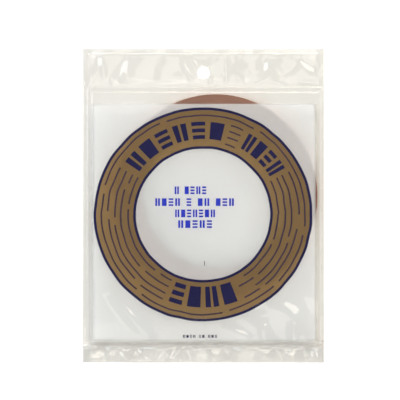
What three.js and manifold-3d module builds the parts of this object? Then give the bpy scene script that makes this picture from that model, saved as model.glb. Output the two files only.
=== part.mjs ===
// A roll of copper foil tape behind its printed insert card, sealed in a clear film bag with a hang hole.
// Millimetres. The bag lies on its back: +X is to the right, +Y up towards the hang hole, +Z out of its
// front. The origin is the middle of the bag's outline, on the underside of its back film.
import * as THREE from 'three';
import { mergeVertices } from 'three/addons/utils/BufferGeometryUtils.js';
import { ConvexGeometry } from 'three/addons/geometries/ConvexGeometry.js';
import Module from 'manifold-3d';

const wasm = await Module();
wasm.setup();

// Tape and core
const coreBore = 73; // diameter
const coreWall = 1.8;
const tapeWidth = 4.0; // 5/32 inch
const foilThickness = 0.032; // 1.25 mil copper
const adhesiveThickness = 0.025;
const linerThickness = 0.074;
const turns = 114; // 36 yards
const layerGap = 0.05; // between the outermost turn's layers and the winding under them
const coreGap = 0.1; // between the core and the first turn
const tailLength = 15; // free end of the outermost turn, along its arc
const tailGap = 0.3; // between the free end and the turns beside it
const tailAngle = 214; // degrees from +X to the line where the free end lifts

// Insert card
const cardWidth = 116.7;
const cardLength = 124.3;
const cardThickness = 0.2;
const cardCorner = 0.8;

// Bag
const filmThickness = 0.1;
const weldGap = 0.2; // between the two films where they are welded
const stackGap = 0.3; // between film, roll, card and film through the pocket
const contentGap = 0.5; // between the pocket's side and what leans on it
const rollDrop = 0.7; // how far the roll has slipped down from the pocket's top
const sidePlay = 2.25; // how much wider the pocket is than the wider of card and roll
const endPlay = 6.9; // how much longer the pocket is than the longer of card and roll
const wallRun = 2.4; // how far the pocket's sloping sides spread from its top to its foot
const wallShift = 0.11; // plan distance between the two faces of a sloping side
const sealMargin = 5.05; // left side seal, from the pocket's top edge to the bag's edge
const foldMargin = 3.0; // right side, where the film folds over
const skirtLength = 11.1; // below the pocket
const headerLength = 23.1; // above the pocket
const bagCorner = 0.6;
const pocketCorner = 1.5;
const hangHole = 6.35; // diameter, 1/4 inch
const hangHoleDrop = 12.9; // from the bag's top edge to the hole's centre

// Facets. Each arc of an extruded outline gets two facets for each of its steps.
const ringSegments = 96;
const turnSteps = 46;
const tailSteps = 3;
const filmSteps = 12;
const cornerSteps = 3;

// Plan layout, from the pocket outwards
const tapeThickness = foilThickness + adhesiveThickness;
const windingInner = coreBore / 2 + coreWall + coreGap;
const windingOuter = windingInner + turns * (tapeThickness + linerThickness);
const linerInner = windingOuter + layerGap;
const foilInner = linerInner + linerThickness + layerGap;
const rollRadius = foilInner + tapeThickness;
const pocketWidth = Math.max(cardWidth, 2 * rollRadius) + sidePlay;
const pocketLength = Math.max(cardLength, 2 * rollRadius) + endPlay;
const bagWidth = sealMargin + pocketWidth + foldMargin;
const bagLength = skirtLength + pocketLength + headerLength;
const pocket = {
  left: sealMargin - bagWidth / 2,
  right: bagWidth / 2 - foldMargin,
  foot: skirtLength - bagLength / 2,
  top: bagLength / 2 - headerLength,
};
// The roll leans on the pocket's right side, a little below its top. The card lies in its bottom left corner.
const rollX = pocket.right - contentGap - rollRadius;
const rollY = pocket.top - contentGap - rollDrop - rollRadius;
const cardX = pocket.left + contentGap + cardWidth / 2;
const cardY = pocket.foot + contentGap + cardLength / 2;

// Heights, from the underside of the bag upwards
const rollBase = filmThickness + stackGap;
const cardBase = rollBase + tapeWidth + stackGap;
const pocketRoof = cardBase + cardThickness + stackGap;
const frontFilmBase = filmThickness + weldGap;

const part = new THREE.Group();

const finishes = {
  film: { color: 0xf1eee7, roughness: 0.12, metalness: 0, transparent: true, opacity: 0.2 },
  paper: { color: 0xebebea, roughness: 0.75, metalness: 0 },
  cardboard: { color: 0xb39a7c, roughness: 0.9, metalness: 0 },
  winding: { color: 0x8f6c5c, roughness: 0.5, metalness: 0.6 },
  liner: { color: 0xe6e0d3, roughness: 0.7, metalness: 0 },
  copper: { color: 0xb97a55, roughness: 0.3, metalness: 1 },
};

function addPiece(name, geometry, finish, x = 0, y = 0, z = 0) {
  const piece = new THREE.Mesh(geometry, new THREE.MeshStandardMaterial(finishes[finish]));
  piece.name = name;
  piece.position.set(x, y, z);
  part.add(piece);
  return piece;
}

function toSolid(geometry) {
  const bare = geometry.clone();
  bare.deleteAttribute('normal');
  bare.deleteAttribute('uv');
  const welded = mergeVertices(bare);
  return new wasm.Manifold(new wasm.Mesh({
    numProp: 3,
    vertProperties: new Float32Array(welded.attributes.position.array),
    triVerts: new Uint32Array(welded.index.array),
  }));
}

function toGeometry(solid) {
  const mesh = solid.getMesh();
  const geometry = new THREE.BufferGeometry();
  geometry.setAttribute('position', new THREE.BufferAttribute(new Float32Array(mesh.vertProperties), 3));
  geometry.setIndex(new THREE.BufferAttribute(new Uint32Array(mesh.triVerts), 1));
  geometry.computeVertexNormals();
  return geometry;
}

// A rectangle with round corners, between two opposite corners.
function roundedRectangle(left, foot, right, top, corner) {
  const shape = new THREE.Shape();
  shape.moveTo(left + corner, foot);
  shape.lineTo(right - corner, foot);
  shape.absarc(right - corner, foot + corner, corner, -Math.PI / 2, 0);
  shape.lineTo(right, top - corner);
  shape.absarc(right - corner, top - corner, corner, 0, Math.PI / 2);
  shape.lineTo(left + corner, top);
  shape.absarc(left + corner, top - corner, corner, Math.PI / 2, Math.PI);
  shape.lineTo(left, foot + corner);
  shape.absarc(left + corner, foot + corner, corner, Math.PI, 1.5 * Math.PI);
  return shape;
}

function plate(shape, thickness, steps) {
  return new THREE.ExtrudeGeometry(shape, { depth: thickness, bevelEnabled: false, curveSegments: steps });
}

// A ring of rectangular section about the Z axis, standing on z = 0.
function ring(inner, outer, height) {
  const profile = [
    new THREE.Vector2(inner, 0),
    new THREE.Vector2(outer, 0),
    new THREE.Vector2(outer, height),
    new THREE.Vector2(inner, height),
    new THREE.Vector2(inner, 0),
  ];
  const geometry = new THREE.LatheGeometry(profile, ringSegments);
  geometry.rotateX(Math.PI / 2);
  return geometry;
}

// A strip on edge, bent round the Z axis from one angle to another, in degrees, standing on z = 0.
function strip(inner, thickness, height, from, to, steps) {
  const start = THREE.MathUtils.degToRad(from);
  const end = THREE.MathUtils.degToRad(to);
  const shape = new THREE.Shape();
  shape.absarc(0, 0, inner + thickness, start, end, false);
  shape.absarc(0, 0, inner, end, start, true);
  return plate(shape, height, steps);
}

// The outline of the bag, pierced by its hang hole.
function bagOutline() {
  const outline = roundedRectangle(-bagWidth / 2, -bagLength / 2, bagWidth / 2, bagLength / 2, bagCorner);
  const hole = new THREE.Path();
  hole.absarc(0, bagLength / 2 - hangHoleDrop, hangHole / 2, 0, 2 * Math.PI, true);
  outline.holes.push(hole);
  return outline;
}

// A block that fills the pocket between two heights, its sides spreading as they go down, and its outline
// grown by a margin.
function pocketBlock(margin, from, to) {
  const points = [];
  for (const z of [from, to]) {
    const spread = margin + wallRun * (1 - z / pocketRoof);
    const outline = roundedRectangle(
      pocket.left - spread,
      pocket.foot - spread,
      pocket.right + spread,
      pocket.top + spread,
      pocketCorner,
    );
    for (const p of outline.getPoints(cornerSteps)) {
      points.push(new THREE.Vector3(p.x, p.y, z));
    }
  }
  return toSolid(new ConvexGeometry(points));
}

// Front film: flat round the pocket and raised over the card and roll like a shallow tray.
function frontFilm() {
  const flat = plate(bagOutline(), filmThickness, filmSteps);
  flat.translate(0, 0, frontFilmBase);
  const outside = pocketBlock(wallShift, frontFilmBase + filmThickness / 2, pocketRoof + filmThickness);
  const inside = pocketBlock(0, 0, pocketRoof);
  return toGeometry(toSolid(flat).add(outside).subtract(inside));
}

addPiece('back_film', plate(bagOutline(), filmThickness, filmSteps), 'film');
addPiece('front_film', frontFilm(), 'film');

const cardOutline = roundedRectangle(-cardWidth / 2, -cardLength / 2, cardWidth / 2, cardLength / 2, cardCorner);
addPiece('insert_card', plate(cardOutline, cardThickness, cornerSteps), 'paper', cardX, cardY, cardBase);

// The roll, about its own axis
addPiece('core', ring(coreBore / 2, coreBore / 2 + coreWall, tapeWidth), 'cardboard', rollX, rollY, rollBase);
addPiece('tape_winding', ring(windingInner, windingOuter, tapeWidth), 'winding', rollX, rollY, rollBase);

// The outermost turn stops short of the free end on both sides.
const tailSpan = THREE.MathUtils.radToDeg(tailLength / rollRadius);
const gapSpan = THREE.MathUtils.radToDeg(tailGap / rollRadius);
const turnFrom = tailAngle + tailSpan + gapSpan;
const turnTo = tailAngle + 360 - gapSpan;
for (const [name, finish, inner, thickness] of [
  ['liner', 'liner', linerInner, linerThickness],
  ['foil', 'copper', foilInner, tapeThickness],
]) {
  const turn = strip(inner, thickness, tapeWidth, turnFrom, turnTo, turnSteps);
  addPiece(`outer_${name}_turn`, turn, finish, rollX, rollY, rollBase);
  const tail = strip(inner, thickness, tapeWidth, tailAngle, tailAngle + tailSpan, tailSteps);
  addPiece(`tail_${name}`, tail, finish, rollX, rollY, rollBase);
}

export default part;
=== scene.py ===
"""Looks of a bagged roll of copper foil tape.

The bag lies on its back: +X is to the right, +Y up towards the hang hole and +Z out of the bag's front.
Shapes are worked out in millimetres and written to the meshes in metres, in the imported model's own frame.
"""

import logging
import math
from abc import ABC, abstractmethod
from dataclasses import dataclass
from enum import Enum
from typing import ClassVar

import bpy
import numpy as np
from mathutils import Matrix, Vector


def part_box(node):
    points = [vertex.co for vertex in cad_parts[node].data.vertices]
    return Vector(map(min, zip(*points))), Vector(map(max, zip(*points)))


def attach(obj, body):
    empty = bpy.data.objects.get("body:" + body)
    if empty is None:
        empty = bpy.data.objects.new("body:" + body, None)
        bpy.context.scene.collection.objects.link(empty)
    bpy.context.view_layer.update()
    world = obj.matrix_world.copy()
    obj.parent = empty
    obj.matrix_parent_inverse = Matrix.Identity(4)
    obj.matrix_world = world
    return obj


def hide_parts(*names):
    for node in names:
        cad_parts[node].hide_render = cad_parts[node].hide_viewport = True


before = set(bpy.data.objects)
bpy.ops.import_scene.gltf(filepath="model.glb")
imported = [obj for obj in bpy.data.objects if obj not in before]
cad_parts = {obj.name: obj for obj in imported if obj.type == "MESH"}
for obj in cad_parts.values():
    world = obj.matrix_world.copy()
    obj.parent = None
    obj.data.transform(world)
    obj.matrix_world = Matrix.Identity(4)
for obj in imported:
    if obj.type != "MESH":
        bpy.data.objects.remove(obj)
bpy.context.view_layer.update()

MM = 0.001
LOG = logging.getLogger("tape_bag")
Colour = tuple[float, float, float]


# ---------------------------------------------------------------- surfaces


def grid_quads(rows: int, columns: int, wrap_rows: bool = False, wrap_columns: bool = False) -> np.ndarray:
    """Corner numbers of the quads of a grid of points, counted row by row.

    Args:
        rows: Points along the first direction.
        columns: Points along the second direction.
        wrap_rows: Joins the last row to the first.
        wrap_columns: Joins the last column to the first.

    Returns:
        An array of four corner numbers per quad.
    """
    i = np.arange(rows if wrap_rows else rows - 1)[:, None]
    j = np.arange(columns if wrap_columns else columns - 1)[None, :]
    near, far = i * columns, (i + 1) % rows * columns
    left, right = j, (j + 1) % columns
    corners = [near + left, near + right, far + right, far + left]
    return np.stack(np.broadcast_arrays(*corners), axis=-1).reshape(-1, 4)


def make_piece(name: str, points: np.ndarray, quads: np.ndarray, body: str) -> bpy.types.Object:
    """Makes one smooth-shaded mesh object that rides on a body.

    Args:
        name: The piece's name.
        points: Its corners in millimetres, any number of axes before the last one.
        quads: Four corner numbers per face, anticlockwise seen from outside.
        body: The body that the piece moves with.

    Returns:
        The new object.
    """
    mesh = bpy.data.meshes.new(name)
    mesh.from_pydata((points.reshape(-1, 3) * MM).tolist(), [], quads.tolist())
    mesh.polygons.foreach_set("use_smooth", np.ones(len(mesh.polygons), bool))
    mesh.update()
    piece = bpy.data.objects.new(name, mesh)
    bpy.context.scene.collection.objects.link(piece)
    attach(piece, body)
    return piece


def thicken(piece: bpy.types.Object, thickness: float, back: bpy.types.Material | None = None) -> None:
    """Gives a sheet its thickness below its upper face.

    Args:
        piece: The sheet, already dressed where its back has a material of its own.
        thickness: In millimetres.
        back: The material of its lower face and its edges, or none for the same all over.
    """
    wall = piece.modifiers.new("thickness", "SOLIDIFY")
    wall.thickness = thickness * MM
    wall.offset = -1.0
    wall.use_rim = True
    if back:
        piece.data.materials.append(back)
        wall.material_offset = 1
        wall.material_offset_rim = 1


def smoothstep(low: float, high: float, value: np.ndarray) -> np.ndarray:
    """Rises from 0 at low to 1 at high, level at both ends: 3t² - 2t³."""
    t = np.clip((value - low) / (high - low), 0.0, 1.0)
    return t * t * (3 - 2 * t)


def rolling(x: np.ndarray, y: np.ndarray, pitch: float, seed: int) -> np.ndarray:
    """A smooth random surface between -1 and 1.

    Random heights on a square lattice, blended between its four nearest points by smooth steps.

    Args:
        x: Where to read it, in millimetres.
        y: Where to read it, in millimetres.
        pitch: The lattice's spacing, in millimetres.
        seed: Chooses the random heights.

    Returns:
        Heights in the shape of x and y.
    """
    size = 64
    heights = np.random.default_rng(seed).uniform(-1, 1, (size, size))
    u, v = x / pitch, y / pitch
    i, j = np.floor(u).astype(int), np.floor(v).astype(int)
    s, t = smoothstep(0, 1, u - i), smoothstep(0, 1, v - j)
    low = heights[i % size, j % size] * (1 - s) + heights[(i + 1) % size, j % size] * s
    high = heights[i % size, (j + 1) % size] * (1 - s) + heights[(i + 1) % size, (j + 1) % size] * s
    return low * (1 - t) + high * t


def zigzag(phase: np.ndarray) -> np.ndarray:
    """A wave from -1 to 1 with a period of 1 and nearly flat sides: arcsine of a slightly weakened sine."""
    keen = 0.965
    return np.arcsin(keen * np.sin(2 * np.pi * phase)) / math.asin(keen)


@dataclass(frozen=True)
class Layout:
    """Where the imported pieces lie, in millimetres.

    Each box is (left, foot, base, right, top, roof), and each pair of radii is (inner, outer). The pocket's
    outline at its roof is (left, foot, right, top).
    """

    bag: np.ndarray
    card: np.ndarray
    roll: np.ndarray
    core_radii: tuple[float, float]
    winding_radii: tuple[float, float]
    pocket: tuple[float, float, float, float]
    hole_y: float
    hole_radius: float
    LEVEL: ClassVar[float] = 0.01
    RIM: ClassVar[float] = 2.0

    @staticmethod
    def box(node: str) -> np.ndarray:
        """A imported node's box."""
        return np.array(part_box(node)).reshape(6) / MM

    @staticmethod
    def corners(node: str) -> np.ndarray:
        """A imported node's corners."""
        return np.array([v.co[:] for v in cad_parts[node].data.vertices]) / MM

    @classmethod
    def roof(cls, node: str) -> tuple[float, float, float, float]:
        """The outline of a node's highest face.

        Args:
            node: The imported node's name.

        Returns:
            Its left, foot, right and top, from the corners within LEVEL of the highest.
        """
        corners = cls.corners(node)
        highest = corners[corners[:, 2] > corners[:, 2].max() - cls.LEVEL, :2]
        return (*map(float, highest.min(axis=0)), *map(float, highest.max(axis=0)))

    @classmethod
    def from_frame(cls) -> "Layout":
        """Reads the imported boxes, the roll's radii and the hang hole.

        The hole's corners are those of the back film that lie further than RIM inside its edge.

        Returns:
            The layout.
        """
        bag, roll = cls.box("back_film"), cls.box("tape_winding")
        centre = (roll[:2] + roll[3:5]) / 2

        def radii(node: str) -> tuple[float, float]:
            """Least and greatest distance of a node's corners from the roll's axis."""
            away = np.hypot(*(cls.corners(node)[:, :2] - centre).T)
            return float(away.min()), float(away.max())

        outline = cls.corners("back_film")[:, :2]
        hole = outline[(np.abs(outline) < bag[3:5] - cls.RIM).all(axis=1)]
        low, high = hole.min(axis=0), hole.max(axis=0)
        return cls(
            bag=bag,
            card=cls.box("insert_card"),
            roll=roll,
            core_radii=radii("core"),
            winding_radii=radii("tape_winding"),
            pocket=cls.roof("front_film"),
            hole_y=float(low[1] + high[1]) / 2,
            hole_radius=float(high[0] - low[0]) / 2,
        )

    @property
    def roll_centre(self) -> np.ndarray:
        """The roll's axis, x and y."""
        return (self.roll[:2] + self.roll[3:5]) / 2


# ---------------------------------------------------------------- finishes


class Shader:
    """A material's node tree, with short ways to add nodes and join them."""

    def __init__(self, name: str) -> None:
        """Starts an empty tree for a new material.

        Args:
            name: The material's name.
        """
        self.material = bpy.data.materials.new(name)
        self.material.use_nodes = True
        self.nodes = self.material.node_tree.nodes
        self.nodes.clear()
        self.place = self.add("ShaderNodeTexCoord").outputs["Object"]

    def add(self, kind: str, inputs: dict | None = None, **settings: object) -> bpy.types.Node:
        """Adds a node.

        Args:
            kind: The node's type.
            inputs: Values or sockets by input name or number.
            **settings: The node's own properties.

        Returns:
            The node.
        """
        node = self.nodes.new(kind)
        for key, value in settings.items():
            setattr(node, key, value)
        for key, value in (inputs or {}).items():
            if isinstance(value, bpy.types.NodeSocket):
                self.material.node_tree.links.new(value, node.inputs[key])
            else:
                node.inputs[key].default_value = value
        return node

    def maths(self, operation: str, a: object, b: object = 0.0) -> bpy.types.NodeSocket:
        """The result of a Math node on two values or sockets."""
        return self.add("ShaderNodeMath", {0: a, 1: b}, operation=operation).outputs[0]

    def noise(self, scale: float, detail: float = 3.0, stretch: Colour = (1, 1, 1)) -> bpy.types.NodeSocket:
        """Grain on the object's own coordinates.

        Args:
            scale: Waves per metre.
            detail: How many finer octaves are added.
            stretch: How much the grain is squeezed along each axis.

        Returns:
            A value around 0.5.
        """
        squeezed = self.add("ShaderNodeMapping", {"Vector": self.place, "Scale": stretch}).outputs[0]
        inputs = {"Vector": squeezed, "Scale": scale, "Detail": detail}
        return self.add("ShaderNodeTexNoise", inputs).outputs["Fac"]

    def between(
        self, share: bpy.types.NodeSocket, low: Colour, high: Colour, edges: tuple[float, float] = (0.3, 0.7)
    ) -> bpy.types.NodeSocket:
        """A colour that runs from one to another.

        Args:
            share: What it follows.
            low: The colour up to the first edge.
            high: The colour from the second edge on.
            edges: Where on share the run starts and ends.

        Returns:
            The colour.
        """
        ramp = self.add("ShaderNodeValToRGB", {0: share})
        for stop, at, colour in zip(ramp.color_ramp.elements, edges, (low, high)):
            stop.position = at
            stop.color = (*colour, 1)
        return ramp.outputs[0]

    def blend(self, share: bpy.types.NodeSocket, first: object, second: object) -> bpy.types.NodeSocket:
        """A mix of two colours, with share of the second."""
        inputs = {0: share, 6: first, 7: second}
        return self.add("ShaderNodeMix", inputs, data_type="RGBA").outputs[2]

    def bump(
        self, height: bpy.types.NodeSocket, distance: float, strength: float = 1.0
    ) -> bpy.types.NodeSocket:
        """A normal roughened by a height, over a distance in millimetres."""
        inputs = {"Height": height, "Distance": distance * MM, "Strength": strength}
        return self.add("ShaderNodeBump", inputs).outputs[0]

    def mix(self, share: object, first: bpy.types.Node, second: bpy.types.Node) -> bpy.types.Node:
        """A mix of two shaders, with share of the second."""
        return self.add("ShaderNodeMixShader", {0: share, 1: first.outputs[0], 2: second.outputs[0]})

    def finish(self, surface: bpy.types.Node) -> bpy.types.Material:
        """Joins the surface to the output and returns the material."""
        self.add("ShaderNodeOutputMaterial", {"Surface": surface.outputs[0]})
        return self.material


@dataclass(frozen=True)
class ClearFilm:
    """Clear polyethylene film: see-through, glossy more at a slant, faintly milky, with painted shade and
    painted light along its foot.

    Each face mirrors a few parts in a hundred head on, and more with a power of the slant. Below the foot
    seal a grey diffuse share grows from the faint haze into painted shade, which darkens the skirt. Along the
    foot seal a white diffuse band, given by its middle, its reach and its whitest share, is painted light
    that lifts the shadow the card casts there.
    """

    name: str = "clear_film"
    tint: Colour = (0.917, 0.915, 0.909)
    head_on: float = 0.022
    slant_power: float = 5.0
    # grey of the faint haze, and of the painted shade below the foot seal
    haze_and_shade_grey: Colour = (0.55, 0.55, 0.53)
    cloud_scale: float = 55
    haze: float = 0.002
    # painted shade: the grey share that darkens the skirt below the foot seal
    skirt_painted_shade: float = 0.035
    foot_seal: tuple[float, float] = (-70.5, -73.5)
    # painted light: a white band along the foot seal that lifts the card's shadow there
    painted_foot_light: tuple[float, float, float] = (-73.0, 2.6, 0.22)
    painted_light_white: Colour = (0.88, 0.86, 0.82)
    grain_scale: float = 260
    grain_stretch: Colour = (1, 0.35, 1)
    relief: float = 0.05
    roughness: float = 0.05

    def material(self) -> bpy.types.Material:
        """Makes the film's material.

        Returns:
            The material.
        """
        s = Shader(self.name)
        slant = s.add("ShaderNodeLayerWeight", {"Blend": 0.5}).outputs["Facing"]
        slant = s.maths("MULTIPLY", s.maths("POWER", slant, self.slant_power), 1 - self.head_on)
        mirrored = s.maths("ADD", slant, self.head_on)
        grain = s.noise(self.grain_scale, 2, self.grain_stretch)
        normal = s.bump(grain, self.relief, 0.5)
        clear = s.add("ShaderNodeBsdfTransparent", {"Color": (*self.tint, 1)})
        haze_and_shade = s.add("ShaderNodeBsdfDiffuse", {"Color": (*self.haze_and_shade_grey, 1)})
        up = s.add("ShaderNodeSeparateXYZ", {0: s.place}).outputs[1]
        # The grey diffuse share: faint haze above the foot seal, then painted shade that darkens the skirt
        # below it.
        first, last = (edge * MM for edge in self.foot_seal)
        haze_and_skirt_shade_share = s.add("ShaderNodeMapRange", {0: up, 1: first, 2: last, 3: self.haze, 4: self.skirt_painted_shade})
        clouds = s.maths("MULTIPLY", s.noise(self.cloud_scale, 4), 2.0)
        # cloud is the clouded share of faint haze and painted shade
        cloud = s.maths("MULTIPLY", clouds, haze_and_skirt_shade_share.outputs[0])
        # Painted light: a white diffuse share along the foot seal, greatest at its middle, that lifts the
        # shadow the card casts there.
        middle, reach, most = self.painted_foot_light
        away = s.maths("ABSOLUTE", s.maths("SUBTRACT", up, middle * MM))
        painted_light_share = s.add("ShaderNodeMapRange", {0: away, 1: 0.0, 2: reach * MM, 3: most, 4: 0.0}).outputs[0]
        white = s.add("ShaderNodeBsdfDiffuse", {"Color": (*self.painted_light_white, 1)})
        gloss = s.add("ShaderNodeBsdfGlossy", {"Roughness": self.roughness, "Normal": normal})
        # Under the gloss, the white diffuse share is painted light, and the grey one is faint haze plus
        # painted shade.
        return s.finish(s.mix(mirrored, s.mix(painted_light_share, s.mix(cloud, clear, haze_and_shade), white), gloss))


@dataclass(frozen=True)
class Paper:
    """Paper or board that lets some light through, with a fibrous grain and slight clouding."""

    name: str
    colour: Colour
    cloud: Colour
    through: float = 0.5
    cloud_scale: float = 70
    roughness: float = 0.75
    grain: float = 900
    relief: float = 0.02
    shine: float = 0.5

    def face(self, s: Shader, colour: bpy.types.NodeSocket) -> bpy.types.Node:
        """The reflecting share of the paper, with its fibres as fine relief.

        Args:
            s: The material's shader.
            colour: The paper's colour.

        Returns:
            The surface's node.
        """
        normal = s.bump(s.noise(self.grain, 4), self.relief)
        inputs = {"Base Color": colour, "Roughness": self.roughness, "Normal": normal}
        inputs["Specular IOR Level"] = self.shine
        return s.add("ShaderNodeBsdfPrincipled", inputs)

    def material(self) -> bpy.types.Material:
        """Makes the paper's material.

        Returns:
            The material.
        """
        s = Shader(self.name)
        colour = s.between(s.noise(self.cloud_scale, 5), self.cloud, self.colour)
        front = self.face(s, colour)
        if not self.through:
            return s.finish(front)
        behind = s.add("ShaderNodeBsdfTranslucent", {"Color": colour})
        return s.finish(s.mix(self.through, front, behind))


@dataclass(frozen=True)
class Ink(Paper):
    """Matt ink on paper, with a finer grain and less shine than the paper's own."""

    roughness: float = 0.6
    grain: float = 1500
    shine: float = 0.1


@dataclass(frozen=True)
class WoundEdges:
    """The cut edges of the wound tape: fine rings of copper between release paper.

    The rings follow the distance from the roll's axis, with broad darker and lighter bands over them.
    """

    name: str
    centre: tuple[float, float]
    copper: Colour = (0.19, 0.077, 0.048)
    paper: Colour = (0.155, 0.08, 0.055)
    pitch: float = 0.45
    ring_share: float = 0.35
    band_scale: float = 900
    edges: tuple[float, float] = (0.25, 0.75)
    relief: float = 0.05
    strength: float = 0.6
    metallic: float = 0.35
    roughness: float = 0.42

    def material(self) -> bpy.types.Material:
        """Makes the winding's material.

        Returns:
            The material.
        """
        s = Shader(self.name)
        shift = (-self.centre[0] * MM, -self.centre[1] * MM, 0)
        flat = s.add("ShaderNodeMapping", {"Vector": s.place, "Location": shift, "Scale": (1, 1, 0)})
        away = s.add("ShaderNodeVectorMath", {0: flat.outputs[0]}, operation="LENGTH").outputs["Value"]
        ring = s.maths("SINE", s.maths("MULTIPLY", away, 2 * math.pi / (self.pitch * MM)))
        ring = s.maths("MULTIPLY_ADD", ring, 0.5)
        ring.node.inputs[2].default_value = 0.5
        settings = {"W": away, "Scale": self.band_scale, "Detail": 4}
        bands = s.add("ShaderNodeTexNoise", settings, noise_dimensions="1D").outputs["Fac"]
        fine = s.maths("MULTIPLY", ring, self.ring_share)
        broad = s.maths("MULTIPLY", bands, 1 - self.ring_share)
        share = s.maths("ADD", fine, broad)
        colour = s.between(share, self.paper, self.copper, self.edges)
        normal = s.bump(share, self.relief, self.strength)
        inputs = {
            "Base Color": colour,
            "Metallic": self.metallic,
            "Roughness": self.roughness,
            "Normal": normal,
        }
        return s.finish(s.add("ShaderNodeBsdfPrincipled", inputs))


@dataclass(frozen=True)
class CopperFoil:
    """Rolled copper foil: bright, with fine lengthwise rolling marks and faint tarnish."""

    name: str = "copper_foil"
    bright: Colour = (0.80, 0.42, 0.27)
    tarnish: Colour = (0.55, 0.25, 0.15)
    cloud_scale: float = 120
    edges: tuple[float, float] = (0.25, 0.6)
    mark_scale: float = 300
    mark_stretch: Colour = (1, 1, 14)
    roughness: tuple[float, float] = (0.22, 0.42)
    relief: float = 0.01

    def material(self) -> bpy.types.Material:
        """Makes the foil's material.

        Returns:
            The material.
        """
        s = Shader(self.name)
        colour = s.between(s.noise(self.cloud_scale, 5), self.tarnish, self.bright, self.edges)
        marks = s.noise(self.mark_scale, 3, self.mark_stretch)
        smooth, rough = self.roughness
        inputs = {
            "Base Color": colour,
            "Metallic": 1.0,
            "Roughness": s.add("ShaderNodeMapRange", {0: marks, 3: smooth, 4: rough}).outputs[0],
            "Normal": s.bump(marks, self.relief, 0.5),
        }
        return s.finish(s.add("ShaderNodeBsdfPrincipled", inputs))


@dataclass(frozen=True)
class PrintedPaper(Paper):
    """Paper with one printed ring of colour on it, whose ink tints the light that comes through."""

    centre: tuple[float, float] = (0.0, 0.0)
    radii: tuple[float, float] = (1.0, 2.0)
    squeeze: float = 1.0
    ink: Colour = (0.465, 0.315, 0.14)
    worn: float = 0.86
    wear_scale: float = 160
    shade: Colour = (0.96, 0.97, 0.985)

    def ring(self, s: Shader) -> bpy.types.NodeSocket:
        """Where the ring is printed, on an oval squeezed in height.

        Args:
            s: The material's shader.

        Returns:
            1 between the two radii and 0 elsewhere.
        """
        x, y = self.centre
        settings = {"Vector": s.place, "Location": (-x * MM, -y * MM / self.squeeze, 0)}
        flat = s.add("ShaderNodeMapping", {**settings, "Scale": (1, 1 / self.squeeze, 0)})
        away = s.add("ShaderNodeVectorMath", {0: flat.outputs[0]}, operation="LENGTH").outputs["Value"]
        within = s.maths("LESS_THAN", away, self.radii[1] * MM)
        return s.maths("MULTIPLY", within, s.maths("GREATER_THAN", away, self.radii[0] * MM))

    def material(self) -> bpy.types.Material:
        """Makes the printed paper's material.

        Returns:
            The material.
        """
        s = Shader(self.name)
        ring = self.ring(s)
        bare = s.between(s.noise(self.cloud_scale, 5), self.cloud, self.colour)
        worn = s.between(s.noise(self.wear_scale, 6), tuple(self.worn * c for c in self.ink), self.ink)
        front = self.face(s, s.blend(ring, bare, worn))
        behind = s.blend(ring, (*self.shade, 1), (*self.ink, 1))
        return s.finish(s.mix(self.through, front, s.add("ShaderNodeBsdfTranslucent", {"Color": behind})))


FILM = ClearFilm()
NAVY_INK = Ink("navy_ink", (0.003, 0.003, 0.045), (0.006, 0.005, 0.055), through=0.08)
LINE_INK = Ink("line_ink", (0.035, 0.022, 0.045), (0.06, 0.035, 0.055), through=0.15)
BLUE_INK = Ink("blue_ink", (0.02, 0.035, 0.48), (0.03, 0.05, 0.55), through=0.3)
RELEASE_PAPER = Paper("release_paper", (0.82, 0.79, 0.70), (0.76, 0.72, 0.62), through=0.0, roughness=0.6)
CHIPBOARD = Paper(
    "chipboard", (0.20, 0.19, 0.185), (0.15, 0.145, 0.14), through=0.0, roughness=0.9, relief=0.08
)
CARD_PAPER = Paper("card_paper", (0.97, 0.975, 0.98), (0.95, 0.955, 0.96), through=0.74)
FLOOR_PAPER = Paper("floor_paper", (0.90, 0.90, 0.90), (0.89, 0.89, 0.89), through=0.0, roughness=0.9)


def dress(piece: bpy.types.Object, material: bpy.types.Material) -> None:
    """Puts one material on a new piece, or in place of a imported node's own."""
    piece.data.materials.clear()
    piece.data.materials.append(material)


# ---------------------------------------------------------------- the bag


class Wave(ABC):
    """Ups and downs over the plan, none of them further than height from level."""

    height: float

    @abstractmethod
    def rise(self, x: np.ndarray, y: np.ndarray) -> np.ndarray:
        """The wave's height at each place, in millimetres."""

    def raised(self, x: np.ndarray, y: np.ndarray) -> np.ndarray:
        """The wave lifted by its own height, so that it is never less than nothing."""
        return self.height + self.rise(x, y)


@dataclass(frozen=True)
class Swell(Wave):
    """A slow random wave: height x rolling(x, y, spread)."""

    height: float
    spread: float
    seed: int

    def rise(self, x: np.ndarray, y: np.ndarray) -> np.ndarray:
        """The swell's height at each place."""
        return self.height * rolling(x, y, self.spread, self.seed)


@dataclass(frozen=True)
class Creases(Wave):
    """Creases with nearly flat sides: height x zigzag((x + slant x y) / pitch + wander)."""

    height: float
    slant: float
    pitch: float
    wander: Swell

    def rise(self, x: np.ndarray, y: np.ndarray) -> np.ndarray:
        """The creases' height at each place."""
        return self.height * zigzag((x + self.slant * y) / self.pitch + self.wander.rise(x, y))


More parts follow.
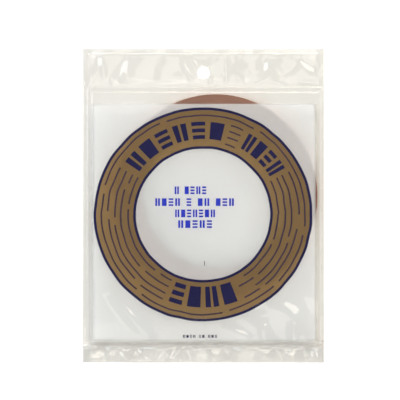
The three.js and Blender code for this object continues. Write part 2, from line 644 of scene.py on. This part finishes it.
@dataclass(frozen=True)
class Fold(Wave):
    """A rounded ridge or groove in the film along a straight line, highest at its middle.

    Its height at a point is height x exp(-(distance / width)²) x a half sine along the line. The sine is
    held from a share BLUNT of the line's length before each end, so that the fold ends bluntly.
    """

    start: tuple[float, float]
    end: tuple[float, float]
    width: float
    height: float
    BLUNT: ClassVar[float] = 0.08

    def rise(self, x: np.ndarray, y: np.ndarray) -> np.ndarray:
        """The fold's height.

        Args:
            x: Places across the bag, in millimetres.
            y: Places along the bag, in millimetres.

        Returns:
            Its height at each place, in millimetres.
        """
        start, run = np.array(self.start), np.subtract(self.end, self.start)
        length = float(np.hypot(*run))
        along = ((x - start[0]) * run[0] + (y - start[1]) * run[1]) / length**2
        across = ((y - start[1]) * run[0] - (x - start[0]) * run[1]) / length
        beyond = (along - np.clip(along, 0, 1)) * length
        near = np.exp(-(across**2 + beyond**2) / self.width**2)
        return self.height * near * np.sin(np.pi * np.clip(along, self.BLUNT, 1 - self.BLUNT))


def total(waves: tuple[Wave, ...], x: np.ndarray, y: np.ndarray) -> np.ndarray:
    """The sum of several waves' heights at each place."""
    return sum(wave.rise(x, y) for wave in waves)


@dataclass
class FilmBag:
    """The clear bag: a back film that lies flat and a front film raised over the card and roll.

    Both are sheets over one plan grid, with the hang hole left out of it. The front film drops from the
    pocket's roof to its welds over wall_run, and is creased where it is slack. Each ramp gives the two
    distances between which something grows from nothing to its full size: in from the bag's edge or out
    from the pocket's, for teeth_ramp up from the bag's middle, and for corner_ramp towards the pocket's
    lower right corner.
    """

    layout: Layout
    cell: float = 0.7
    hole_cells: int = 4
    blend_cells: int = 10
    film: float = 0.06
    wall_run: float = 2.4
    foot_run: float = 2.4
    weld_height: float = 0.2
    over_gap: float = 0.3
    side_ramp: tuple[float, float] = (0, 3)
    header_ramp: tuple[float, float] = (1.0, 8)
    top_ramp: tuple[float, float] = (-0.6, 3)
    skirt_ramp: tuple[float, float] = (1.2, 4)
    foot_ramp: tuple[float, float] = (-2.5, 2.5)
    teeth_ramp: tuple[float, float] = (75, 80)
    corner_ramp: tuple[float, float] = (48, 10)
    header_lift: float = 0.3
    header_tilt: float = 0.16
    skirt_lift: float = 1.25
    foot_wander: Swell = Swell(0.8, 9, 11)
    header_creases: tuple[Creases, ...] = (
        Creases(0.22, 0.35, 25, Swell(0.5, 23, 3)),
        Creases(0.12, -0.9, 17, Swell(0.45, 15, 5)),
    )
    skirt_creases: tuple[Creases, ...] = (
        Creases(0.85, 0.5, 20, Swell(0.5, 17, 7)),
        Creases(0.4, -0.9, 13, Swell(0.4, 11, 8)),
    )
    top_teeth: Creases = Creases(0.16, 0.2, 6.5, Swell(0.6, 9, 6))
    wall_crinkles: Creases = Creases(0.5, 1.0, 8, Swell(0.8, 9, 9))
    corner_creases: Creases = Creases(0.45, 0.7, 21, Swell(0.35, 18, 23))
    back_creases: Creases = Creases(0.3, -0.2, 22, Swell(0.4, 19, 31))
    card_swell: Swell = Swell(0.07, 30, 21)
    seam_wander: Swell = Swell(0.5, 14, 13)
    seam_height: float = 0.10
    seam_width: float = 0.7
    side_seam_share: float = 1.2
    seams_across: tuple[float, ...] = (78.7, 59.85, -72.15)
    seam_left: float = -58.95
    header_folds: tuple[Fold, ...] = (
        Fold((-11.6, 82.5), (-2.6, 69.5), 1.5, 1.2),
        Fold((-13.5, 78.5), (-4.0, 62.5), 1.3, 0.7),
        Fold((12.5, 79.0), (12.0, 61.0), 1.0, 0.7),
        Fold((3.0, 69.0), (5.0, 61.0), 1.1, 0.7),
        Fold((17.0, 70.0), (22.0, 61.0), 1.4, 0.6),
        Fold((31.5, 80.0), (31.0, 70.0), 2.4, -1.0),
        Fold((50.0, 78.0), (60.0, 71.0), 1.8, -1.0),
        Fold((-38.0, 78.0), (-41.5, 62.0), 2.4, 0.9),
        Fold((-53.5, 79.0), (-51.5, 64.0), 1.8, 0.7),
        Fold((-50.0, 66.5), (-46.0, 63.0), 1.0, 0.5),
        Fold((24.0, 61.5), (33.0, 66.0), 1.0, 0.8),
        Fold((33.0, 66.0), (48.0, 61.5), 1.0, 0.8),
        Fold((48.0, 65.0), (63.0, 64.0), 1.3, -0.9),
    )
    skirt_folds: tuple[Fold, ...] = (
        Fold((-10.0, -72.5), (-17.0, -82.5), 1.0, 1.1),
        Fold((-5.5, -73.0), (-4.0, -82.0), 1.6, 0.9),
        Fold((-60.0, -75.0), (-62.0, -80.0), 1.4, -0.8),
        Fold((-54.0, -73.0), (-52.0, -80.5), 1.1, -0.8),
        Fold((35.0, -72.0), (51.0, -82.5), 1.4, 1.1),
        Fold((53.0, -73.0), (56.0, -82.5), 1.2, 0.9),
    )
    card_folds: tuple[Fold, ...] = (
        Fold((-50.0, -44.5), (-28.0, -70.5), 2.6, 0.75),
        Fold((33.0, -50.0), (52.0, -59.5), 4.5, 0.7),
        Fold((31.0, -58.0), (33.0, -71.0), 2.6, 0.8),
        Fold((46.5, -59.0), (47.5, -74.0), 2.4, 0.9),
        Fold((58.7, -58.0), (58.7, -70.5), 0.9, 0.6),
        Fold((12.0, -64.5), (26.0, -70.0), 1.8, 0.55),
        Fold((-51.0, -72.4), (-48.4, -72.8), 0.8, 0.6),
        Fold((-28.4, -72.2), (-25.8, -72.6), 0.8, 0.6),
        Fold((2.6, -72.6), (6.6, -72.7), 0.8, 0.6),
        Fold((49.6, -72.4), (52.4, -72.2), 0.8, 0.6),
    )
    edge_folds: tuple[Fold, ...] = (
        Fold((61.6, -30.0), (64.6, -24.4), 1.3, 0.6),
        Fold((61.4, -40.5), (64.6, -34.5), 1.3, 0.6),
        Fold((61.4, -50.5), (64.6, -44.5), 1.3, 0.65),
        Fold((61.8, -60.5), (64.6, -55.0), 1.3, 0.6),
    )

    def plan(self) -> tuple[np.ndarray, np.ndarray, np.ndarray]:
        """The grid of both films.

        The grid lines pass through the middle of the hang hole. Squares of points round it are drawn out to
        circles: fully on the innermost square, which becomes the hole's rim, and less and less up to
        blend_cells away.

        Returns:
            x and y of every point, row by row, and the quads without those inside the hole.
        """
        left, foot, _, right, top, _ = self.layout.bag
        columns = 2 * round((right - left) / self.cell / 2)
        rows = round((top - foot) / self.cell)
        hole_row = round((self.layout.hole_y - foot) / self.cell)
        across = np.linspace(left, right, columns + 1)
        up = np.interp(np.arange(rows + 1), [0, hole_row, rows], [foot, self.layout.hole_y, top])
        x, y = np.meshgrid(across, up)
        a, b = np.meshgrid(np.arange(columns + 1) - columns // 2, np.arange(rows + 1) - hole_row)
        ring = np.maximum(np.abs(a), np.abs(b))
        share = np.clip((self.blend_cells - ring) / (self.blend_cells - self.hole_cells), 0, 1)
        share = np.where(ring < self.hole_cells, 1, share)
        away = np.maximum(np.hypot(a, b), 1)
        radius = self.layout.hole_radius * ring / self.hole_cells
        x = x * (1 - share) + a / away * radius * share
        y = y * (1 - share) + (self.layout.hole_y + b / away * radius) * share
        quads = grid_quads(rows + 1, columns + 1)
        keep = ring.reshape(-1)[quads].max(axis=1) > self.hole_cells
        return x, y, quads[keep]

    def outside(self, x: np.ndarray, y: np.ndarray) -> np.ndarray:
        """How far outside the pocket's roof each place lies.

        Args:
            x: Places across the bag, in millimetres.
            y: Places along the bag, in millimetres.

        Returns:
            The distance as a share of the wall's run there, 0 inside.
        """
        left, foot, right, top = self.layout.pocket
        across = np.maximum(np.maximum(left - x, x - right), 0) / self.wall_run
        run = np.where(y < foot, self.foot_run + self.foot_wander.rise(x, y), self.wall_run)
        along = np.maximum(np.maximum(foot - y, y - top), 0) / run
        return np.hypot(across, along)

    def slack(self, x: np.ndarray, y: np.ndarray) -> tuple[np.ndarray, np.ndarray]:
        """How free the film is in the header and in the skirt.

        Args:
            x: Places across the bag, in millimetres.
            y: Places along the bag, in millimetres.

        Returns:
            The header's share and the skirt's, each from 0 at its edges to 1 inside.
        """
        left, foot, _, right, top, _ = self.layout.bag
        _, pocket_foot, _, pocket_top = self.layout.pocket
        sides = smoothstep(*self.side_ramp, np.minimum(x - left, right - x))
        header = smoothstep(*self.header_ramp, y - pocket_top) * smoothstep(*self.top_ramp, top - y)
        skirt = smoothstep(*self.skirt_ramp, pocket_foot - y) * smoothstep(*self.foot_ramp, y - foot)
        return header * sides, skirt * sides

    def seam(self, x: np.ndarray, y: np.ndarray) -> np.ndarray:
        """Rise of the heat seals: a rounded ridge of height x exp(-(distance / width)²) along each line.

        Args:
            x: Places across the bag, in millimetres.
            y: Places along the bag, in millimetres.

        Returns:
            The seals' height at each place.
        """
        away = [y - line + self.seam_wander.rise(x, y) for line in self.seams_across]
        across = sum(np.exp(-((distance / self.seam_width) ** 2)) for distance in away)
        side = np.exp(-(((x - self.seam_left) / self.seam_width) ** 2)) * (y < self.seams_across[1])
        return self.seam_height * (across + self.side_seam_share * side)

    def front_height(self, x: np.ndarray, y: np.ndarray) -> np.ndarray:
        """Height of the front film.

        A tray that drops by a smooth step over its wall. Where the film is slack, two crossing waves with
        nearly flat sides and a phase that wanders make its facets, and single folds and short pleats along
        the top edge are added. Crinkles run down the walls where the tray is steep. It stays high enough
        for the back film to lie under it.

        Args:
            x: Places across the bag, in millimetres.
            y: Places along the bag, in millimetres.

        Returns:
            The front film's upper face at each place.
        """
        roof = self.layout.card[5] + self.over_gap
        wall = 1 - smoothstep(0, 1, self.outside(x, y))
        height = self.weld_height + (roof - self.weld_height) * wall
        header, skirt = self.slack(x, y)
        lift = self.header_lift + self.header_tilt * (y - self.layout.pocket[3])
        teeth = smoothstep(*self.teeth_ramp, y) * self.top_teeth.rise(x, y)
        height = height + header * (lift + teeth + total(self.header_creases + self.header_folds, x, y))
        height = height + skirt * (self.skirt_lift + total(self.skirt_creases + self.skirt_folds, x, y))
        steep = 4 * wall * (1 - wall)
        height = height + steep * self.wall_crinkles.rise(x, y)
        height = height + (1 - wall) * (self.seam(x, y) + total(self.edge_folds, x, y))
        height = height + wall * self.over_card(x, y)
        return np.maximum(height, 3 * self.film)

    def over_card(self, x: np.ndarray, y: np.ndarray) -> np.ndarray:
        """Rise of the front film over the card: a slow swell, one creased corner and the single folds.

        Args:
            x: Places across the bag, in millimetres.
            y: Places along the bag, in millimetres.

        Returns:
            The rise at each place, never less than nothing.
        """
        _, foot, right, _ = self.layout.pocket
        corner = smoothstep(*self.corner_ramp, np.hypot(x - right, y - foot))
        creased = corner * self.corner_creases.raised(x, y)
        return self.card_swell.raised(x, y) + creased + total(self.card_folds, x, y)

    def back_height(self, x: np.ndarray, y: np.ndarray, front: np.ndarray) -> np.ndarray:
        """Height of the back film: flat, lifted a little by its own creases.

        Args:
            x: Places across the bag, in millimetres.
            y: Places along the bag, in millimetres.
            front: The front film's height there.

        Returns:
            The back film's upper face at each place, always under the front film.
        """
        header, skirt = self.slack(x, y)
        height = self.film + (header + skirt) * self.back_creases.raised(x, y)
        return np.minimum(height, front - 2 * self.film)

    def build(self) -> list[bpy.types.Object]:
        """Returns:
            The front and back films.
        """
        x, y, quads = self.plan()
        front = self.front_height(x, y)
        film, pieces = FILM.material(), []
        for side, height in (("front", front), ("back", self.back_height(x, y, front))):
            points = np.stack([x, y, height], axis=-1).reshape(-1, 3)
            used, corners = np.unique(quads, return_inverse=True)
            name, node = f"bag_{side}", f"{side}_film"
            piece = make_piece(name, points[used], corners.reshape(-1, 4), "bag")
            thicken(piece, self.film)
            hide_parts(node)
            dress(piece, film)
            pieces.append(piece)
        return pieces


# ---------------------------------------------------------------- the insert card


class Stamp(Enum):
    """The plain marks that stand in for print: bars of a unit block, as (left, right, low, high)."""

    SOLID = ((0.0, 1.0, 0.0, 1.0),)
    TWIN = ((0.0, 0.4, 0.0, 1.0), (0.6, 1.0, 0.0, 1.0))
    BANDS = ((0.0, 1.0, 0.0, 0.22), (0.0, 1.0, 0.39, 0.61), (0.0, 1.0, 0.78, 1.0))


STAMPS = (Stamp.TWIN, Stamp.SOLID, Stamp.BANDS, Stamp.TWIN, Stamp.BANDS, Stamp.SOLID)


@dataclass
class InsertCard:
    """The printed paper card: the sheet itself and its print as thin patches that follow it.

    The print is a gold ring with navy outlines and drawn lines, and plain marks in place of words. The
    corner's crease is measured from the card's upper left corner. An arched row of marks in words is
    (first angle, last angle, marks, inner radius, outer radius), and a straight one in rows is (left, right,
    middle height, marks in each group).
    """

    layout: Layout
    cell: float = 1.5
    paper: float = 0.2
    swell: Swell = Swell(0.05, 38, 41)
    corner_crease: Fold = Fold((3.5, -13.5), (13.5, 2.0), 0.9, 0.13)
    ink_gap: float = 0.02
    arc_step: float = 1.5
    hand: Swell = Swell(1.0, 6, 51)
    hand_start: float = 60
    ring_shift: tuple[float, float] = (-0.55, 4.25)
    outer: tuple[float, float] = (56.55, 55.35)
    inner: float = 35.85
    outline: float = 1.35
    outline_wobble: float = 0.2
    line_radii: tuple[float, ...] = (38.9, 42.4, 45.9, 49.4, 52.9)
    line_width: float = 0.85
    line_seed: int = 23
    line_wobble: float = 0.3
    line_shift: float = 0.45
    first_break: tuple[float, float] = (20, 60)
    next_break: tuple[float, float] = (28, 75)
    half_break: float = 2.2
    shortest_line: int = 6
    clear_inside: float = 1.6
    clear_outside: float = 0.8
    clear_beside: float = 2.5
    arched_share: float = 0.72
    row_share: float = 0.7
    words: tuple[tuple[float, float, int, float, float], ...] = (
        (147, 75, 6, 40.4, 49.6),
        (62, 29, 4, 40.4, 49.6),
        (247, 293, 4, 38.8, 49.8),
    )
    rows: tuple[tuple[float, float, float, tuple[int, ...]], ...] = (
        (-15.0, 2.4, 7.9, (1, 4)),
        (-25.2, 17.0, 1.7, (4, 1, 2, 3)),
        (-14.8, 7.0, -4.2, (7,)),
        (-13.2, 5.6, -9.8, (5,)),
    )
    row_height: float = 4.0
    foot_row: tuple[float, float, float, tuple[int, ...]] = (-10.7, 7.7, -68.6, (4, 2, 3))
    foot_row_height: float = 1.5
    tick: tuple[float, float, float, float] = (0.4, 0.75, -31.6, -29.1)

    def finish(self) -> PrintedPaper:
        """The white paper with its printed gold ring.

        Returns:
            The finish, centred on the printed ring.
        """
        return PrintedPaper(
            "printed_paper",
            CARD_PAPER.colour,
            CARD_PAPER.cloud,
            through=CARD_PAPER.through,
            centre=tuple(float(c) for c in self.centre),
            radii=(self.inner, self.outer[0]),
            squeeze=self.outer[1] / self.outer[0],
        )

    @property
    def centre(self) -> np.ndarray:
        """The middle of the printed ring."""
        return (self.layout.card[:2] + self.layout.card[3:5]) / 2 + self.ring_shift

    def height(self, x: np.ndarray, y: np.ndarray) -> np.ndarray:
        """Height of the card's upper face: nearly flat, with a slow swell and a crease across one corner.

        Args:
            x: Places across the bag, in millimetres.
            y: Places along the bag, in millimetres.

        Returns:
            The height at each place.
        """
        left, _, _, _, top, roof = self.layout.card
        return roof + self.swell.rise(x, y) + self.corner_crease.rise(x - left, y - top)

    def patch(self, x: np.ndarray, y: np.ndarray, lift: float) -> np.ndarray:
        """Points of a grid laid on the card, lifted by a number of ink layers."""
        return np.stack([x, y, self.height(x, y) + lift * self.ink_gap], axis=-1)

    def sector(
        self, radii: tuple[float, float], angles: tuple[float, float], wobble: float = 0.0, lift: float = 1
    ) -> np.ndarray:
        """A piece of a ring: radius by angle, in degrees, squeezed to the printed ring's slight oval.

        Args:
            radii: Inner and outer radius.
            angles: Where it starts and ends.
            wobble: How far a hand-drawn edge wanders.
            lift: How many ink layers it stands above the paper.

        Returns:
            The patch's points, radius by angle.
        """
        steps = max(2, math.ceil(abs(angles[1] - angles[0]) / self.arc_step) + 1)
        across = max(2, math.ceil((radii[1] - radii[0]) / self.cell) + 1)
        angle = np.radians(np.linspace(*sorted(angles), steps))[None, :]
        radius = np.linspace(*radii, across)[:, None]
        hand_x = self.hand_start + radii[0] * np.cos(angle)
        hand_y = self.hand_start + radii[0] * np.sin(angle)
        radius = radius + wobble * self.hand.rise(hand_x, hand_y)
        squeeze = self.outer[1] / self.outer[0]
        x = self.centre[0] + radius * np.cos(angle)
        y = self.centre[1] + radius * squeeze * np.sin(angle)
        return self.patch(x, y, lift)

    def bar(self, left: float, right: float, low: float, high: float) -> np.ndarray:
        """An upright rectangle of ink on the card.

        Args:
            left: Its left edge.
            right: Its right edge.
            low: Its foot.
            high: Its top.

        Returns:
            The patch's points, row by row.
        """
        x = np.linspace(left, right, max(2, math.ceil((right - left) / self.cell) + 1))
        y = np.linspace(low, high, max(2, math.ceil((high - low) / self.cell) + 1))
        return self.patch(*np.meshgrid(x, y), 1)

    def join(self, name: str, patches: list[np.ndarray], ink: bpy.types.Material) -> bpy.types.Object:
        """Makes one printed piece of many patches, all facing up.

        Args:
            name: The piece's name.
            patches: Each patch's grid of points.
            ink: Its material.

        Returns:
            The piece.
        """
        points, quads, count = [], [], 0
        for patch in patches:
            rows, columns = patch.shape[:2]
            corners = grid_quads(rows, columns)
            a, b, d = (patch.reshape(-1, 3)[corners[0, k], :2] for k in (0, 1, 3))
            turned = np.cross(b - a, d - a) < 0
            quads.append((corners[:, ::-1] if turned else corners) + count)
            points.append(patch.reshape(-1, 3))
            count += rows * columns
        piece = make_piece(name, np.concatenate(points), np.concatenate(quads), "card")
        dress(piece, ink)
        return piece

    def clear_of_marks(self, radius: float, angle: np.ndarray) -> np.ndarray:
        """Where a drawn line is clear of the arched marks.

        Args:
            radius: The line's radius.
            angle: Angles round the ring, in degrees.

        Returns:
            True at the angles where it is clear.
        """
        clear = np.ones_like(angle, bool)
        for first, last, _, low, high in self.words:
            if low - self.clear_inside < radius < high + self.clear_outside:
                middle, half = (first + last) / 2, abs(last - first) / 2 + self.clear_beside
                clear &= np.abs((angle - middle + 180) % 360 - 180) > half
        return clear

    def drawn_lines(self) -> list[np.ndarray]:
        """The ring's drawn lines: arcs of random length on a few radii, broken where the marks are.

        Returns:
            One patch per line.
        """
        random = np.random.default_rng(self.line_seed)
        angle = np.arange(0, 360, 1.0)
        patches = []
        for radius in self.line_radii:
            drawn = self.clear_of_marks(radius, angle)
            at = float(random.uniform(*self.first_break))
            while at < 360:
                drawn &= np.abs(angle - at) > self.half_break
                at += float(random.uniform(*self.next_break))
            ends = np.flatnonzero(np.diff(np.concatenate([[False], drawn, [False]]).astype(int)))
            for start, stop in ends.reshape(-1, 2):
                low = radius + float(random.uniform(-self.line_shift, self.line_shift))
                if stop - start > self.shortest_line:
                    radii = (low, low + self.line_width)
                    patches.append(self.sector(radii, (start, stop), self.line_wobble, 1))
        return patches

    def arched_marks(self) -> list[np.ndarray]:
        """The bold marks on the ring, where its words would be.

        Returns:
            One patch per bar.
        """
        patches, turn = [], 0
        for first, last, count, low, high in self.words:
            pitch = (last - first) / count
            for k in range(count):
                start = first + (k + (1 - self.arched_share) / 2) * pitch
                wide = self.arched_share * pitch
                for left, right, foot, top in STAMPS[turn % len(STAMPS)].value:
                    radii = (low + foot * (high - low), low + top * (high - low))
                    patches.append(self.sector(radii, (start + left * wide, start + right * wide), 0, 2))
                turn += 1
        return patches

    def row_marks(self, row: tuple[float, float, float, tuple[int, ...]], height: float) -> list[np.ndarray]:
        """A straight row of small marks in groups.

        Args:
            row: Its left and right ends, its middle height and the number of marks in each group.
            height: The marks' height.

        Returns:
            One patch per bar.
        """
        left, right, middle, groups = row
        pitch = (right - left) / (sum(groups) + self.row_share * (len(groups) - 1))
        wide, low = self.row_share * pitch, middle - height / 2
        patches, at, turn = [], left, 0
        for group in groups:
            for _ in range(group):
                for a, b, foot, top in STAMPS[turn % len(STAMPS)].value:
                    bar = self.bar(at + a * wide, at + b * wide, low + foot * height, low + top * height)
                    patches.append(bar)
                at += pitch
                turn += 1
            at += wide
        return patches

    def build(self) -> list[bpy.types.Object]:
        """Makes the card and its print.

        Returns:
            The card first, then the printed pieces.
        """
        left, foot, _, right, top, _ = self.layout.card
        across = np.linspace(left, right, round((right - left) / self.cell) + 1)
        up = np.linspace(foot, top, round((top - foot) / self.cell) + 1)
        points = self.patch(*np.meshgrid(across, up), 0)
        card = make_piece("paper_insert", points, grid_quads(*points.shape[:2]), "card")
        dress(card, self.finish().material())
        thicken(card, self.paper, back=CARD_PAPER.material())
        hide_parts("insert_card")
        half, full = self.outline / 2, (0, 360)
        outlines = [
            self.sector((radius - half, radius + half), full, self.outline_wobble, 2)
            for radius in (self.outer[0], self.inner)
        ]
        centre_rows = sum((self.row_marks(row, self.row_height) for row in self.rows), [])
        foot_row = [*self.row_marks(self.foot_row, self.foot_row_height), self.bar(*self.tick)]
        navy = NAVY_INK.material()
        prints = [
            self.join("print_outlines", outlines, navy),
            self.join("print_drawn_lines", self.drawn_lines(), LINE_INK.material()),
            self.join("print_arched_marks", self.arched_marks(), navy),
            self.join("print_centre_rows", centre_rows, BLUE_INK.material()),
            self.join("print_foot_row", foot_row, navy),
        ]
        return [card, *prints]


# ---------------------------------------------------------------- the roll


@dataclass
class TapeRoll:
    """The cardboard core and the tape wound on it, with its outermost turn and free end.

    Core and winding are one closed profile each, carried round the roll's axis. The winding's two sides have
    a spiral relief, because its turns are never wound quite level.
    """

    layout: Layout
    segments: int = 160
    ridges: int = 27
    points_a_ridge: int = 6
    ridge_height: float = 0.05
    band_height: float = 0.10
    band_width: float = 1.7
    band_drift: float = 2.0
    band_seed: int = 61
    edge: float = 0.15
    corner_points: int = 5

    def profile(self, radii: tuple[float, float], heights: tuple[float, float], across: int) -> np.ndarray:
        """A rectangle with rounded corners: out along the top, down, in along the foot and up again.

        Args:
            radii: Its inner and outer radius.
            heights: Its foot and top.
            across: Points along the top and along the foot.

        Returns:
            Rows of radius and height.
        """
        inner, outer = radii[0] + self.edge, radii[1] - self.edge
        low, high = heights[0] + self.edge, heights[1] - self.edge
        out = np.linspace(inner, outer, across)[1:-1]
        turn = np.radians(np.linspace(90, 0, self.corner_points))

        def corner(radius: float, height: float, start: float) -> np.ndarray:
            """A quarter circle about a corner's middle, which starts at a number of degrees."""
            angle = turn - math.pi / 2 + math.radians(start)
            return np.stack([radius + self.edge * np.cos(angle), height + self.edge * np.sin(angle)])

        top = np.stack([out, np.full_like(out, heights[1])])
        foot = np.stack([out[::-1], np.full_like(out, heights[0])])
        parts = [top, corner(outer, high, 90), corner(outer, low, 0), foot]
        parts += [corner(inner, low, -90), corner(inner, high, 180)]
        return np.concatenate(parts, axis=1)

    def carried(self, profile: np.ndarray, relief: float = 0.0) -> np.ndarray:
        """Points of a profile carried round the axis, its top and foot sunk by a relief.

        The relief is a spiral: a cosine of (radius / ridge pitch - turns), plus broad bands that are a smooth
        random function of radius and, weakly, of the angle.

        Args:
            profile: Rows of radius and height.
            relief: 1 for the winding's relief, 0 for none.

        Returns:
            The points, segment by profile point.
        """
        angle = np.linspace(0, 2 * np.pi, self.segments, endpoint=False)[:, None]
        radius, height = profile
        pitch = (radius.max() - radius.min()) / self.ridges
        ridge = 0.5 + 0.5 * np.cos(2 * np.pi * radius / pitch - angle)
        drift = self.band_drift * np.cos(angle) + 0 * radius
        bands = 0.5 + 0.5 * rolling(radius + 0 * angle, drift, self.band_width, self.band_seed)
        sunk = relief * (self.ridge_height * ridge + self.band_height * bands)
        middle = (height.min() + height.max()) / 2
        share = 1 - sunk / (height.max() - middle)
        x = self.layout.roll_centre[0] + radius * np.cos(angle)
        y = self.layout.roll_centre[1] + radius * np.sin(angle)
        return np.stack([x, y, middle + (height - middle) * share], axis=-1)

    def ring(self, name: str, points: np.ndarray, body: str, slot: str) -> bpy.types.Object:
        """A closed ring from its points, segment by profile point."""
        quads = grid_quads(*points.shape[:2], wrap_rows=True, wrap_columns=True)
        return make_piece(name, points, quads, body)

    def build(self) -> list[bpy.types.Object]:
        """Makes core and winding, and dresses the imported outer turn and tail.

        Returns:
            The two new pieces and the four packed ones.
        """
        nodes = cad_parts
        heights = self.layout.roll[2], self.layout.roll[5]
        core_profile = self.profile(self.layout.core_radii, heights, 6)
        core = self.ring("core_tube", self.carried(core_profile), "core", "cardboard")
        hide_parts("core")
        dress(core, CHIPBOARD.material())
        winding_profile = self.profile(self.layout.winding_radii, heights, self.ridges * self.points_a_ridge)
        winding = self.ring("wound_tape", self.carried(winding_profile, 1.0), "winding", "winding")
        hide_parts("tape_winding")
        centre = tuple(float(c) for c in self.layout.roll_centre)
        dress(winding, WoundEdges("wound_edges", centre).material())
        foil, liner = CopperFoil().material(), RELEASE_PAPER.material()
        packed = {"outer_foil_turn": foil, "tail_foil": foil, "outer_liner_turn": liner, "tail_liner": liner}
        for node, material in packed.items():
            dress(nodes[node], material)
        return [core, winding, *(nodes[node] for node in packed)]


# ---------------------------------------------------------------- studio


@dataclass(frozen=True)
class Softbox:
    """A square studio light that faces the bag's middle.

    Its place is an angle round the bag, 0 at the right and 90 at the top, and a tilt from straight overhead.
    """

    name: str
    round_angle: float
    tilt: float
    distance: float
    size: float
    radiance: float
    colour: Colour

    def build(self) -> None:
        """Makes the light: its power is pi x area x radiance."""
        lamp = bpy.data.lights.new(self.name, "AREA")
        lamp.shape = "SQUARE"
        lamp.size = self.size
        lamp.energy = math.pi * self.size**2 * self.radiance
        lamp.color = self.colour
        light = bpy.data.objects.new(self.name, lamp)
        turn, tilt = math.radians(self.round_angle), math.radians(self.tilt)
        flat = self.distance * math.sin(tilt)
        light.location = (flat * math.cos(turn), flat * math.sin(turn), self.distance * math.cos(tilt))
        light.rotation_euler = Vector(light.location).to_track_quat("Z", "Y").to_euler()
        bpy.context.scene.collection.objects.link(light)


@dataclass
class Studio:
    """Camera, softboxes, pale surroundings and a plain white floor."""

    aim: tuple[float, float] = (-1.77, 2.82)
    camera_height: float = 0.878
    lens: float = 150.0
    sensor: float = 36.0
    surround: float = 0.12
    floor_gap: float = 0.3
    floor_size: float = 2400.0
    floor_lines: int = 5
    light_bounces: int = 10
    transparent_bounces: int = 40
    softboxes: tuple[Softbox, ...] = (
        Softbox("warm_softbox", 60, 35, 1.0, 0.74, 7.3, (1.0, 0.94, 0.85)),
        Softbox("cool_softbox", 152, 36, 1.0, 0.68, 6.8, (0.88, 0.94, 1.0)),
        Softbox("low_softbox", 280, 42, 1.0, 0.6, 2.7, (1.0, 0.98, 0.94)),
        Softbox("near_softbox", 270, 19, 1.0, 0.4, 2.6, (1.0, 0.97, 0.91)),
    )

    def build(self) -> None:
        """Makes the camera, the lights, the world and the floor."""
        scene = bpy.context.scene
        lens = bpy.data.cameras.new("camera")
        lens.lens = self.lens
        lens.sensor_width = self.sensor
        camera = bpy.data.objects.new("camera", lens)
        camera.location = (self.aim[0] * MM, self.aim[1] * MM, self.camera_height)
        scene.collection.objects.link(camera)
        scene.camera = camera
        scene.view_settings.view_transform = "Standard"
        scene.cycles.max_bounces = self.light_bounces
        scene.cycles.diffuse_bounces = self.light_bounces
        scene.cycles.transparent_max_bounces = self.transparent_bounces
        for softbox in self.softboxes:
            softbox.build()
        scene.world = bpy.data.worlds.new("surround")
        scene.world.use_nodes = True
        background = scene.world.node_tree.nodes["Background"]
        background.inputs["Color"].default_value = (self.surround, self.surround, self.surround, 1)
        lines = np.linspace(-self.floor_size / 2, self.floor_size / 2, self.floor_lines)
        x, y = np.meshgrid(lines, lines)
        points = np.stack([x, y, np.full_like(x, -self.floor_gap)], axis=-1).reshape(-1, 3) * MM
        mesh = bpy.data.meshes.new("floor")
        mesh.from_pydata(points.tolist(), [], grid_quads(self.floor_lines, self.floor_lines).tolist())
        floor = bpy.data.objects.new("floor", mesh)
        scene.collection.objects.link(floor)
        dress(floor, FLOOR_PAPER.material())


def main() -> None:
    """Builds the studio and the object's pieces in order."""
    logging.basicConfig(level=logging.INFO, format="%(name)s: %(message)s")
    layout = Layout.from_frame()
    Studio().build()
    for part in (TapeRoll(layout), InsertCard(layout), FilmBag(layout)):
        for piece in part.build():
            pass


if __name__ == "__main__":
    main()
